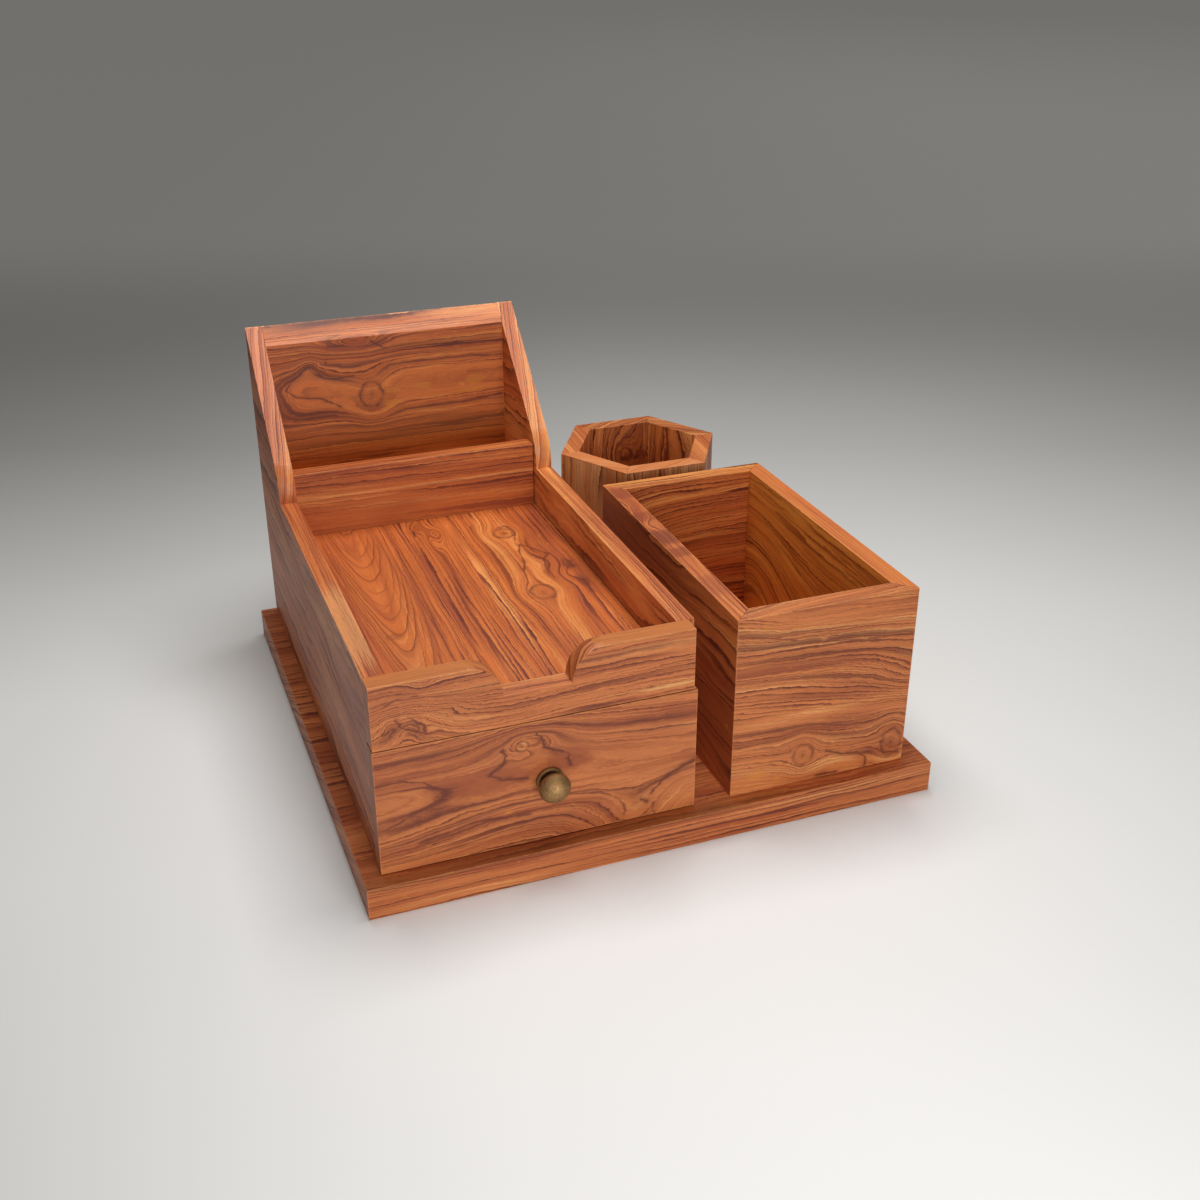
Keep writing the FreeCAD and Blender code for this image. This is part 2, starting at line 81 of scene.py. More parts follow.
# What every teak board starts from, lengths in mm; a board's own dictionary changes what differs
teakPlain = {
    "light": "#f2a45c", "mid": "#d6783c", "deep": "#b05629",      # ground, from pale to dark
    "line": "#8c3a16", "vein": "#5c1e0a", "gold": "#dc8a2c",      # rings, strongest lines, flecks
    "ringMm": 3.0, "ringLongMm": 120.0,      # growth rings, and how long one keeps its strength
    "ringDark": 0.9, "ringPick": 0.46,       # how dark the strongest ring gets, and how few are strong
    "bandMm": 8.0, "bandLongMm": 200.0,      # broad light and dark bands
    "bunching": 3.2,                         # how unevenly the rings are spaced
    "wanderMm": 9.0, "waverMm": 2.6, "raggedMm": 1.1,      # slow, quick and fine waver of the grain
    "slope": 0.0, "crossing": 1.0, "depth": 1.2,   # how the growth field climbs along s, u and v
    "ridges": [], "swells": [], "plains": [], "knots": [], "veins": [], "calms": [], "tintsAndPaintedLight": [],
    "arches": [], "stainsAndShadows": [], "gums": [],
    "tone": 0.0, "deepMm": 400.0, "seed": 0.0,     # deepMm: how far knots, swells and tints go in
}
knotReach = 1.8      # how far round a knot its lines part, in radii of its eye
plainShare = 0.93    # how far a plain pushes its lines apart
seedStep = 5.3       # how far apart two boards read the noise, in cells
ringStep = 3.7       # how far apart two rings read it


def growthAt(look, s, u):
    # The growth field of a board's face at one place, without its waver: climb, swells, plains and knots
    def bell(spot):
        return math.exp(-((s - spot[0]) / spot[2]) ** 2 - ((u - spot[1]) / spot[3]) ** 2)

    level = look["slope"] * s + look["crossing"] * u
    level += sum(lift * math.exp(-((u - middle) / wide) ** 2) for middle, wide, lift in look["ridges"])
    level += sum(spot[4] * bell(spot) for spot in look["swells"])
    for spot in look["plains"]:
        level -= plainShare * look["crossing"] * (u - spot[1]) * bell(spot)
    for spot in look["knots"]:
        wide = (spot[0], spot[1], knotReach * spot[2], knotReach * spot[3])
        level -= look["crossing"] * (u - spot[1]) * bell(wide)
    return level


def teak(node, along, across, **own):
    # Teak, planed and rubbed with satin oil: orange-brown bands, sharp red-brown growth lines with a soft
    # shade on one side, finer lines between them, knots that part the lines, flecks of gold and short open
    # pores; pores and fibres are drawn a little coarser than real ones, which are too fine to show
    look = {**teakPlain, **own}
    material, tree = newMaterial("oiled_teak_" + node)
    turn, shift, size = boardFrame(node, along, across)
    coordinates = addNode(tree, "TexCoord")
    sawn = addNode(tree, "Mapping", {"Vector": coordinates.outputs["Object"], "Location": shift,
                                     "Rotation": turn, "Scale": (mmPerM,) * 3})

    def noise(vector, long, wide, offset, detail=1.0, roughness=0.5):
        # Noise stretched along the grain: one cell is long by wide, in mm
        place = addNode(tree, "VectorMath", {0: vector, 1: (1 / long, 1 / wide, 1 / wide),
                                             2: (offset, offset, look["seed"] * seedStep)},
                        operation="MULTIPLY_ADD")
        return addNode(tree, "TexNoise", {"Vector": place, "Scale": 1.0, "Detail": detail,
                                          "Roughness": roughness})

    def calc(operation, a, b=0.0, c=0.0):
        return addNode(tree, "Math", {0: a, 1: b, 2: c}, operation=operation)

    def share(value, low, high, least, most):
        # Smooth step of a value between low and high
        return addNode(tree, "MapRange", {0: value, 1: low, 2: high, 3: least, 4: most},
                       interpolation_type="SMOOTHSTEP")

    def mix(fac, a, b):
        return addNode(tree, "Mix", {0: fac, 6: a, 7: b}, data_type="RGBA").outputs[2]

    def curve(value, *stops):
        # Grey ramp through (place, level) stops
        greys = [(at, (level, level, level, 1)) for at, level in stops]
        return addNode(tree, "ValToRGB", {0: value}, stops=greys)

    # Quick waver: every place is read a little aside, so that lines and knots come out uneven
    waver = addNode(tree, "VectorMath", {0: noise(sawn, 16.0, 5.0, 8.7, 4.0, 0.62).outputs["Color"],
                                         1: (0.5, 0.5, 0.5)}, operation="SUBTRACT")
    wide = look["waverMm"]
    board = addNode(tree, "VectorMath", {0: waver, 1: (2.5 * wide, wide, 0.6 * wide), 2: sawn},
                    operation="MULTIPLY_ADD")

    def bell(s, u, longRadius, wideRadius, vector=board, deepMm=look["deepMm"]):
        # Offset from a spot in radii, its square, and a bell over the spot
        radii = Vector((longRadius, wideRadius, deepMm))
        reach = addNode(tree, "VectorMath", {0: vector, 1: [1 / r for r in radii],
                                             2: (-s / longRadius, -u / wideRadius, 0)},
                        operation="MULTIPLY_ADD")
        square = addNode(tree, "VectorMath", {0: reach, 1: reach}, operation="DOT_PRODUCT").outputs["Value"]
        return reach, square, calc("EXPONENT", calc("MULTIPLY", square, -1.0))

    # The growth field: a slope whose contour lines are the growth lines, bent by a slow wander
    field = addNode(tree, "VectorMath", {0: board, 1: (look["slope"], look["crossing"], look["depth"])},
                    operation="DOT_PRODUCT").outputs["Value"]
    wander = noise(sawn, 110.0, 34.0, 3.1)
    field = calc("MULTIPLY_ADD", calc("SUBTRACT", wander, 0.5), look["wanderMm"], field)
    ragged = noise(sawn, 4.0, 1.3, 97.1, 2.0, 0.6)
    field = calc("MULTIPLY_ADD", calc("SUBTRACT", ragged, 0.5), look["raggedMm"], field)
    # Ridges run the board's length: the lines on both sides of one mirror each other
    for middle, wide, lift in look["ridges"]:
        field = calc("MULTIPLY_ADD", bell(0.0, middle, 1e6, wide, deepMm=1e6)[2], lift, field)
    # Swells lift or sink the field, so that lines bow round them
    for s, u, longRadius, wideRadius, lift in look["swells"]:
        field = calc("MULTIPLY_ADD", bell(s, u, longRadius, wideRadius)[2], lift, field)

    def flatten(field, reach, hump, wideRadius, amount):
        # Pushes the lines apart on both sides of a spot
        aside = addNode(tree, "SeparateXYZ", {0: reach}).outputs[1]
        push = calc("MULTIPLY", hump, aside)
        return calc("MULTIPLY_ADD", push, -amount * wideRadius * look["crossing"], field)

    # Plains are stretches with hardly a line
    for s, u, longRadius, wideRadius in look["plains"]:
        reach, square, hump = bell(s, u, longRadius, wideRadius)
        field = flatten(field, reach, hump, wideRadius, plainShare)
    # Knots part the lines and have an eye with an uneven dark rim
    eyes = None
    crust = noise(sawn, 4.5, 4.0, 44.4, 2.0, 0.6)
    patchy = noise(sawn, 7.0, 6.0, 47.4, 1.0)
    for s, u, longRadius, wideRadius, dark in look["knots"]:
        reach, square, hump = bell(s, u, knotReach * longRadius, knotReach * wideRadius)
        field = flatten(field, reach, hump, knotReach * wideRadius, 1.0)
        inside = calc("SQRT", bell(s, u, longRadius, wideRadius, sawn)[1])
        rough = calc("MULTIPLY_ADD", calc("SUBTRACT", crust, 0.5), 0.5, inside)
        rings = curve(calc("DIVIDE", rough, 1.6), (0.0, 0.95), (0.12, 0.7), (0.18, 0.3), (0.26, 0.5),
                      (0.31, 0.2), (0.42, 0.22), (0.47, 0.4), (0.52, 0.35), (0.58, 1.0), (0.66, 0.75),
                      (0.74, 0.15), (0.95, 0.0))
        mark = calc("MULTIPLY", rings, calc("MULTIPLY", share(patchy, 0.35, 0.65, 1.0, 0.55), dark))
        eyes = calc("MAXIMUM", mark, eyes) if eyes else mark

    place = addNode(tree, "SeparateXYZ", {0: sawn})
    grain = addNode(tree, "CombineXYZ", {0: place.outputs[0], 1: field})
    bands = noise(grain, look["bandLongMm"], look["bandMm"], 21.3, 2.0, 0.55)
    fine = noise(grain, 70.0, 1.1, 33.9, 2.0, 0.6)
    fibres = noise(sawn, 22.0, 0.55, 39.2, 2.0, 0.6)
    patches = noise(board, 60.0, 22.0, 55.5)
    flecks = noise(board, 7.0, 3.0, 58.1, 1.0)
    pores = noise(sawn, 5.0, 0.4, 61.8)

    def ringStrength(count, offset):
        # Every ring reads the noise at a place of its own, so that it fades and comes back along the board
        ring = calc("MULTIPLY", calc("FLOOR", count), ringStep)
        spot = addNode(tree, "CombineXYZ", {0: place.outputs[0], 1: ring})
        return noise(spot, look["ringLongMm"], 1.0, offset)

    # Rings: a sharp dark edge and a soft shade after it
    def lines(spacing, offset, low, high):
        bunch = look["bunching"] * look["ringMm"] / spacing
        count = calc("MULTIPLY_ADD", calc("SUBTRACT", bands, 0.5), bunch, calc("DIVIDE", field, spacing))
        strength = ringStrength(count, offset)
        return calc("FRACT", count), share(strength, low, high, 0.0, 1.0), strength

    # Lines fade round knots and in calms, plains and arches
    clear = None
    for s, u, longRadius, wideRadius, dark in look["knots"]:
        hump = bell(s, u, 1.4 * longRadius, 1.4 * wideRadius)[2]
        clear = calc("MAXIMUM", hump, clear) if clear else hump
    calm = clear
    for spot in look["calms"] + look["plains"] + look["arches"]:
        hump = bell(*spot[:4])[2]
        calm = calc("MAXIMUM", hump, calm) if calm else hump
    quiet = calc("SUBTRACT", 1.0, calm) if calm else 1.0
    phase, strong, strength = lines(look["ringMm"], 71.7, look["ringPick"] - 0.06, look["ringPick"] + 0.16)
    strong = calc("MULTIPLY", strong, quiet)
    profile = curve(phase, (0.0, 0.9), (0.08, 1.0), (0.19, 0.5), (0.33, 0.12), (0.6, 0.0), (0.95, 0.0),
                    (1.0, 0.9))
    core = calc("MULTIPLY", strong, profile)
    profile = curve(phase, (0.0, 0.9), (0.13, 0.86), (0.34, 0.3), (0.66, 0.0), (0.95, 0.0), (1.0, 0.9))
    skirt = calc("MULTIPLY", strong, profile)
    finePhase, fineStrong = lines(look["ringMm"] * 0.5, 83.3, 0.42, 0.6)[:2]
    fineStrong = calc("MULTIPLY", fineStrong, calc("MULTIPLY_ADD", quiet, 0.8, 0.2))
    profile = curve(finePhase, (0.0, 0.9), (0.2, 0.9), (0.5, 0.1), (0.85, 0.0), (1.0, 0.9))
    fineCore = calc("MULTIPLY", fineStrong, profile)

    # Veins are the strongest lines: contours through a chosen place that fade along the board
    for s, u, width, longRadius, dark in look["veins"]:
        away = calc("DIVIDE", calc("SUBTRACT", field, growthAt(look, s, u)), width)
        run = bell(s, 0.0, longRadius, 1e6)[1]
        if clear:
            run = calc("MULTIPLY_ADD", clear, 2.5, run)
        square = calc("MULTIPLY_ADD", away, away, run)
        vein = calc("MULTIPLY", calc("EXPONENT", calc("MULTIPLY", square, -1.0)), dark)
        core = calc("MAXIMUM", core, vein)
        square = calc("MULTIPLY_ADD", calc("MULTIPLY", away, 0.2), away, run)
        soft = calc("MULTIPLY", calc("EXPONENT", calc("MULTIPLY", square, -1.0)), 0.6 * dark)
        skirt = calc("MAXIMUM", skirt, soft)

    # Gum lines are thin dark cracks that run from place to place, uneven in thickness
    flat = addNode(tree, "VectorMath", {0: board, 1: (1, 1, 0)}, operation="MULTIPLY")
    for width, dark, *places in look["gums"]:
        away = None
        for (s, u), (toS, toU) in zip(places, places[1:]):
            way = Vector((toS - s, toU - u, 0))
            start = addNode(tree, "VectorMath", {0: flat, 1: (s, u, 0)}, operation="SUBTRACT")
            part = addNode(tree, "VectorMath", {0: start, 1: way / way.length_squared},
                           operation="DOT_PRODUCT").outputs["Value"]
            part = addNode(tree, "Clamp", {0: part})
            nearest = addNode(tree, "VectorMath", {0: way, "Scale": part}, operation="SCALE")
            gap = addNode(tree, "VectorMath", {0: start, 1: nearest}, operation="DISTANCE").outputs["Value"]
            away = calc("MINIMUM", gap, away) if away else gap
        away = calc("DIVIDE", away, calc("MULTIPLY", share(patchy, 0.3, 0.7, 0.35, 1.3), width))
        square = calc("MULTIPLY", calc("MULTIPLY", away, away), -1.0)
        core = calc("MAXIMUM", core, calc("MULTIPLY", calc("EXPONENT", square), dark))
        soft = calc("MULTIPLY", calc("EXPONENT", calc("MULTIPLY", away, -0.3)), 0.6 * dark)
        skirt = calc("MAXIMUM", skirt, soft)

    # Arches are nested lines of one thickness round a nose that points along the board
    parts = addNode(tree, "SeparateXYZ", {0: board})
    for s, u, longRadius, wideRadius, steep, spacing in look["arches"]:
        aside = calc("SUBTRACT", parts.outputs[1], u)
        aside = calc("MAXIMUM", aside, calc("MULTIPLY", aside, -1.5))
        lean = calc("MULTIPLY", aside, 2 * steep)
        climb = calc("MULTIPLY_ADD", calc("MULTIPLY", aside, 0.5), lean, parts.outputs[0])
        count = calc("MULTIPLY_ADD", calc("SUBTRACT", wander, 0.5), 1.5, calc("DIVIDE", climb, spacing))
        slant = calc("SQRT", calc("MULTIPLY_ADD", lean, lean, 1.0))
        away = calc("DIVIDE", calc("MULTIPLY", calc("FRACT", count), spacing), slant)
        reach = share(bell(s, u, longRadius, wideRadius)[2], 0.12, 0.5, 0.0, 1.0)
        reach = calc("MULTIPLY", reach, share(ringStrength(count, 91.1), 0.38, 0.58, 0.25, 1.0))
        sharp = calc("EXPONENT", calc("MULTIPLY", away, -1.6))
        core = calc("MAXIMUM", core, calc("MULTIPLY", sharp, reach))
        soft = calc("MULTIPLY", calc("EXPONENT", calc("MULTIPLY", away, -0.45)), 0.6)
        skirt = calc("MAXIMUM", skirt, calc("MULTIPLY", soft, reach))

    shade = calc("MULTIPLY", calc("SUBTRACT", strength, 0.5), quiet)
    tone = calc("MULTIPLY_ADD", shade, -0.35, calc("ADD", bands, look["tone"]))
    tone = calc("MULTIPLY_ADD", calc("SUBTRACT", fine, 0.5), 0.6, tone)
    for s, u, longRadius, wideRadius, lift in look["tintsAndPaintedLight"]:
        tone = calc("MULTIPLY_ADD", bell(s, u, longRadius, wideRadius)[2], lift, tone)
    colour = addNode(tree, "ValToRGB", {0: tone}, stops=[
        (0.26, linear(look["deep"])), (0.46, linear(look["mid"])), (0.56, linear(look["mid"])),
        (0.78, linear(look["light"]))]).outputs[0]
    colour = mix(share(patches, 0.5, 0.8, 0.0, 0.35), colour, linear(look["deep"]))
    colour = mix(share(flecks, 0.66, 0.8, 0.0, 0.5), colour, linear(look["gold"]))
    colour = mix(calc("MULTIPLY", skirt, 0.76), colour, linear(look["line"]))
    colour = mix(calc("MULTIPLY", fineCore, 0.68), colour, linear(look["line"]))
    colour = mix(calc("MULTIPLY", core, look["ringDark"]), colour, linear(look["vein"]))
    if eyes:
        colour = mix(calc("MULTIPLY", eyes, 0.85), colour, linear(look["vein"]))
    # Stains are patches with a colour of their own: pale sapwood, dark gum; the dark ones on the base's top are
    # painted shadow
    for s, u, longRadius, wideRadius, stain, most in look["stainsAndShadows"]:
        square = bell(s, u, longRadius, wideRadius, sawn)[1]
        torn = calc("MULTIPLY_ADD", calc("SUBTRACT", fibres, 0.5), 2.6, square)
        colour = mix(share(torn, 0.4, 1.4, most, 0.0), colour, linear(stain))
    colour = mix(share(fibres, 0.5, 0.8, 0.0, 0.45), colour, linear(look["deep"]))
    poreShare = share(pores, 0.6, 0.78, 0.0, 0.4)
    colour = mix(poreShare, colour, linear(look["line"]))

    # Rubbed arrises: the second nearest of the board's three pairs of faces tells how close an edge is
    gaps = []
    for i in range(3):
        gaps.append(calc("MINIMUM", place.outputs[i], calc("SUBTRACT", size[i], place.outputs[i])))
    nearest = calc("MINIMUM", gaps[0], gaps[1])
    edge = calc("MAXIMUM", nearest, calc("MINIMUM", calc("MAXIMUM", gaps[0], gaps[1]), gaps[2]))
    rub = calc("MULTIPLY", share(edge, 0.1, 0.9, 0.3, 0.0), share(crust, 0.35, 0.6, 0.3, 1.0))
    colour = mix(rub, colour, linear(look["light"]))

    gloss = calc("MULTIPLY_ADD", rub, -0.25, share(strength, 0.3, 0.75, 0.44, 0.56))
    height = calc("MULTIPLY_ADD", poreShare, -1.0, calc("MULTIPLY", core, -0.5))
    bump = addNode(tree, "Bump", {"Height": height, "Strength": 0.25, "Distance": 0.0002})
    shader = addNode(tree, "BsdfPrincipled", {"Base Color": colour, "Roughness": gloss, "Normal": bump,
                                              "IOR": 1.5})
    addNode(tree, "OutputMaterial", {0: shader})
    return material


def ease(node, arrisMm):
    # Loose triangles are joined, flat faces cleaned and the arrises eased a little, as a plane stroke does
    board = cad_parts[node]
    board.modifiers.new("join", "WELD").merge_threshold = 1e-5
    clean = board.modifiers.new("clean", "DECIMATE")
    clean.decimate_type = "DISSOLVE"
    clean.angle_limit = math.radians(0.5)
    arris = board.modifiers.new("arris", "BEVEL")
    arris.width = arrisMm / mmPerM
    arris.segments = 2
    arris.limit_method = "ANGLE"
    arris.angle_limit = math.radians(35)
    arris.harden_normals = True
    return board


def dress(node, material):
    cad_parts[node].data.materials.clear()
    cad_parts[node].data.materials.append(material)


# Teak boards: along and across the grain of the face that shows, then what differs from the plain board.
# Every spot is (s, u, long radius, wide radius) in mm. Plains and calms are just that and fade the lines,
# swells and tints add a lift, knots a darkness, arches a steepness and a spacing, and stains a colour and
# a share; on some boards a tint is painted light and shade and a stain painted shadow, as said where it
# stands. A ridge is (u, wide radius, lift). A vein is the strong line through (s, u), with its width, its
# reach along the board and its darkness. A gum line has a width, a darkness and the places (s, u) on it.
boards = {
    "base_board": ("+x", "-y", {
        "seed": 1.0, "crossing": 0.6, "depth": 1.3, "ringMm": 3.2, "mid": "#d07840", "light": "#eaa062",
        # Painted shade: the tint darkens the whole top face, and the two dark stains by the front edge are the
        # shadow that the fronts standing on the base cast on the strip before them
        "deepMm": 2.0, "tintsAndPaintedLight": [(160, 160, 999, 999, -0.14)],
        "stainsAndShadows": [(60, 318, 200, 6, "#74420f", 0.45), (170, 316, 60, 7, "#74420f", 0.3)]}),
    "left_side": ("-y", "-z", {"seed": 2.0, "crossing": 0.25, "depth": 1.4, "ringMm": 2.6,
                               "raggedMm": 0.4, "wanderMm": 5.0,
                               "tintsAndPaintedLight": [(150, 87.4, 300, 2.5, -0.14)],
                               "stainsAndShadows": [(240, 87.4, 44, 1.2, "#f0b272", 0.4)]}),
    "right_side": ("-y", "-z", {"seed": 3.0, "crossing": 0.25, "depth": 1.4, "ringMm": 2.6,
                                "raggedMm": 0.4, "wanderMm": 5.0, "tone": 0.1, "deepMm": 2.0,
                                # Painted light: the tint, only 2 mm deep, lifts the inner face for the light
                                # bounced onto it inside the rack
                                "tintsAndPaintedLight": [(120, 100, 400, 70, 0.12)]}),
    "back_panel": ("+x", "-z", {
        "seed": 4.0, "ringMm": 3.4, "crossing": -1.0, "depth": -1.0, "deepMm": 1.6, "wanderMm": 3.0,
        "light": "#ea9945", "mid": "#cf702c", "deep": "#aa501d", "line": "#803210", "vein": "#521a06",
        "ridges": [(-1, 30, -90)],
        "swells": [(-4, 43, 15, 15, -10), (55, 14, 20, 6, -12), (25, 26, 6, 7, 7), (45, 32, 14, 8, -5)],
        "knots": [(63, 48, 7.5, 8, 1.0)],
        "calms": [(110, 44, 45, 9), (34, 43, 22, 10), (66, 48, 22, 13), (84, 47, 14, 10),
                  (46, 49, 12, 9)],
        "veins": [(25, 26, 0.8, 42, 1.0), (55, 29, 0.7, 24, 0.9), (10, 28, 0.8, 16, 0.9),
                  (45, 15, 0.9, 10, 1.0),
                  (66, 16, 0.9, 12, 1.0), (110, 20, 1.0, 50, 0.9), (22, 60, 1.2, 40, 0.9),
                  (63, 65, 0.8, 60, 0.8),
                  (100, 60, 0.8, 60, 0.8), (60, 70, 0.9, 70, 0.6), (60, 78, 1.4, 90, 0.7)],
        "gums": [(0.7, 1.0, (13, 34), (25, 26), (28, 31), (34, 34), (42, 35.5), (52, 35)),
                 (0.6, 0.9, (13, 34), (11, 40), (16, 45), (30, 47), (36, 50), (43, 54)),
                 (0.6, 0.9, (35, 24), (36, 26), (44, 27)), (0.9, 0.9, (38, 14), (47, 15)),
                 (0.8, 0.9, (66, 14), (73, 19))],
        "tintsAndPaintedLight": [(55, 14, 20, 5, -0.3)],
        "stainsAndShadows": [(77, 47, 5, 2.4, "#cc841c", 0.45), (96, 46, 6, 2, "#cc841c", 0.45),
                   (131, 46, 6, 3.4, "#cc841c", 0.4), (76, 55, 6, 2.2, "#cc841c", 0.45),
                   (128, 53, 9, 1.8, "#cc841c", 0.4), (75, 80, 999, 14, "#a8601c", 0.35)]}),
    "tray_floor": ("-y", "+x", {
        "seed": 5.0, "ringMm": 3.2, "crossing": -1.0, "depth": 0.0, "mid": "#d4702f", "light": "#ef9850",
        "waverMm": 1.8, "wanderMm": 5.0,
        "ridges": [(-5, 22, -60)],
        "swells": [(31, 27, 170, 18, 30), (146, 130, 13, 8, 7), (165, 136, 10, 6, -6),
                   (72, 68, 8, 4, -7),
                   (84, 80, 9, 4, 8), (98, 74, 12, 3, -5)],
        "knots": [(182, 115, 9, 7, 1.0), (98, 118, 7, 6, 1.0)],
        "calms": [(150, 40, 90, 10), (215, 120, 30, 9), (140, 119, 30, 6)],
        "arches": [(150, 27, 120, 17, 0.22, 17)],
        "gums": [(0.7, 0.9, (117, 122), (126, 119), (142, 117), (154, 113)),
                 (0.8, 1.0, (117, 122), (123, 127), (136, 134), (141, 129), (153, 127), (168, 127)),
                 (0.6, 0.8, (89, 116), (88, 123), (98, 125), (109, 122)),
                 (1.0, 1.0, (76, 67), (84, 66)),
                 (1.6, 0.9, (149, 143), (157, 142)), (1.3, 0.9, (175, 142), (192, 141))],
        "stainsAndShadows": [(176, 141, 9, 3, "#5e2810", 0.5), (152, 140, 8, 3, "#5e2810", 0.5),
                   (205, 24, 4, 5, "#8a4018", 0.4)],
        "veins": [(146, 130, 0.9, 24, 1.0), (150, 136, 0.8, 26, 0.9), (120, 126, 0.7, 20, 0.8),
                  (130, 50, 0.8, 60, 0.7),
                  (200, 48, 0.9, 60, 0.8), (190, 100, 0.7, 70, 0.8), (140, 104, 0.8, 70, 0.8),
                  (72, 66, 0.9, 9, 1.0),
                  (90, 136, 0.8, 26, 0.9), (98, 140, 0.9, 30, 1.0), (84, 144, 0.8, 24, 0.9),
                  (120, 74, 0.7, 60, 0.7), (200, 70, 0.8, 60, 0.8)],
        "tintsAndPaintedLight": [(170, 143, 30, 6, -0.4), (96, 142, 34, 8, -0.25), (150, 66, 90, 12, -0.12),
                  (190, 90, 90, 3, 0.3), (150, 88, 70, 3, 0.25)]}),
    "rack_divider": ("+x", "-z", {
        "seed": 6.0, "ringMm": 2.6, "slope": -0.02, "wanderMm": 5.0,
        "light": "#e0914a", "mid": "#c66a30", "deep": "#a24b20", "line": "#782f15",
        "calms": [(75, 32, 100, 9)], "knots": [(84, 17.5, 1.4, 1.1, 1.0)],
        "stainsAndShadows": [(75, 16.8, 999, 1.0, "#eaa460", 0.5)]}),
    "tray_front": ("+x", "-z", {
        "seed": 7.0, "ringMm": 2.3, "slope": 0.02, "waverMm": 3.4,
        "light": "#f0a864", "mid": "#d37b42", "deep": "#ac592e", "line": "#883c1a",
        "swells": [(16, 34, 20, 20, 16), (25, 4, 9, 5, -4), (20, 24, 6, 4, 5), (10, 22, 4, 3, 5),
                   (27, 30, 5, 3, -5),
                   (8, 32, 5, 3, -4), (40, 18, 8, 3, 3)],
        "veins": [(18, 10, 0.6, 40, 0.8), (20, 24, 1.0, 8, 1.0), (120, 22, 0.7, 60, 0.7),
                  (120, 8, 0.9, 50, 0.7),
                  (10, 27, 0.8, 5, 1.0), (26, 27, 0.8, 6, 1.0), (21, 31, 0.7, 5, 1.0),
                  (14, 18, 0.6, 7, 0.9)],
        "tintsAndPaintedLight": [(100, 33, 45, 4, -0.3)],
        "gums": [(0.7, 1.0, (13, 20), (17, 26), (24, 29)), (0.6, 0.9, (19, 20), (25, 25), (30, 26)),
                 (0.6, 0.9, (5, 27), (9, 25)), (0.6, 0.8, (4, 31), (8, 29)),
                 (0.5, 0.8, (8, 11), (16, 8), (24, 9))],
        "knots": [(150, 30, 1.4, 1.1, 1.0)],
        "stainsAndShadows": [(152, 30, 20, 1.0, "#f4b472", 0.7), (75, 0, 999, 0.6, "#c2702c", 0.75)]}),
    "drawer_front": ("+x", "-z", {
        "seed": 8.0, "ringMm": 3.0, "wanderMm": 3.0, "waverMm": 3.0, "tone": -0.11,
        "light": "#eea864", "mid": "#d17b43", "deep": "#aa582e", "line": "#863b1a",
        "plains": [(70, 31, 200, 17)],
        "swells": [(80, 10, 17, 6, 10), (79, 8, 28, 13, 9), (0, 31, 34, 9, 8), (175, 14, 60, 22, -6),
                   (0, 57, 46, 15, -13),
                   (135, 72, 28, 20, -26)],
        "calms": [(166, 62, 26, 17)],
        "knots": [(75, 13, 3.5, 3, 1.0)],
        "veins": [(10, 8, 1.6, 50, 0.9), (100, 5, 1.1, 60, 0.9), (140, 12, 1.6, 50, 0.9),
                  (145, 18, 0.5, 40, 0.9),
                  (38, 28, 0.7, 44, 1.0), (80, 6, 1.8, 24, 1.0), (70, 46, 0.6, 60, 0.9),
                  (30, 52, 0.5, 40, 0.9),
                  (60, 53, 0.5, 60, 0.8), (70, 58, 1.2, 36, 0.9), (40, 64, 0.5, 60, 0.8),
                  (151, 50, 0.6, 20, 1.0)],
        "gums": [(1.0, 1.0, (64, 13), (67, 17), (64, 21), (57, 26)),
                 (1.2, 0.9, (57, 26), (64, 30), (78, 32)),
                 (1.0, 1.0, (83, 7), (88, 16), (98, 22), (101, 29)),
                 (0.8, 0.9, (0, 19), (15, 19), (25, 23), (38, 31), (28, 35), (17, 40), (0, 47)),
                 (1.1, 1.0, (170, 42), (160, 46), (151, 50), (145, 57)),
                 (1.0, 1.0, (139, 60), (143, 62)),
                 (0.6, 0.9, (147, 64), (147, 70)),
                 (0.7, 0.8, (100, 47), (117, 50), (127, 57), (130, 67)),
                 (0.9, 0.9, (22, 57), (50, 52), (78, 54))],
        "tintsAndPaintedLight": [(42, 29, 14, 5, -0.45), (64, 29, 14, 4, -0.45), (99, 26, 10, 5, -0.5),
                  (160, 66, 26, 14, 0.2),
                  (75, 13, 3, 3, 0.3)]}),
    "drawer_inner_front": ("+x", "-z", {"seed": 9.0}),
    "drawer_left_side": ("-y", "-z", {"seed": 10.0}),
    "drawer_right_side": ("-y", "-z", {"seed": 11.0}),
    "drawer_back": ("+x", "-z", {"seed": 12.0}),
    "drawer_bottom": ("-y", "+x", {"seed": 13.0}),
    "note_box_front": ("+x", "-z", {
        "seed": 14.0, "ringMm": 2.2, "slope": -0.1, "wanderMm": 5.0, "ringPick": 0.43,
        "light": "#f4ae6a", "mid": "#d57d43", "deep": "#a8562c", "line": "#7c3418",
        "swells": [(0, -4, 24, 14, 4), (112, 50, 24, 14, -8), (30, 42, 60, 12, 4)],
        "calms": [(60, 7, 60, 7), (40, 64, 70, 4), (66, 102, 18, 9), (12, 100, 24, 11)],
        "stainsAndShadows": [(16, 97, 5, 2.4, "#dc9030", 0.35), (28, 101, 3, 1.6, "#dc9030", 0.3)],
        "knots": [(43, 90, 6, 6.5, 0.85), (98, 94, 6, 8.5, 0.85), (51, 18, 1.3, 1.3, 1.0)],
        "gums": [(0.7, 0.9, (58, 91), (67, 95), (77, 96), (82, 100), (82, 106)),
                 (0.7, 1.0, (52, 105.5), (64, 106)),
                 (0.7, 0.8, (93, 100), (103, 102)),
                 (0.6, 0.8, (0, 9), (22, 14), (42, 20), (75, 25), (106, 27))],
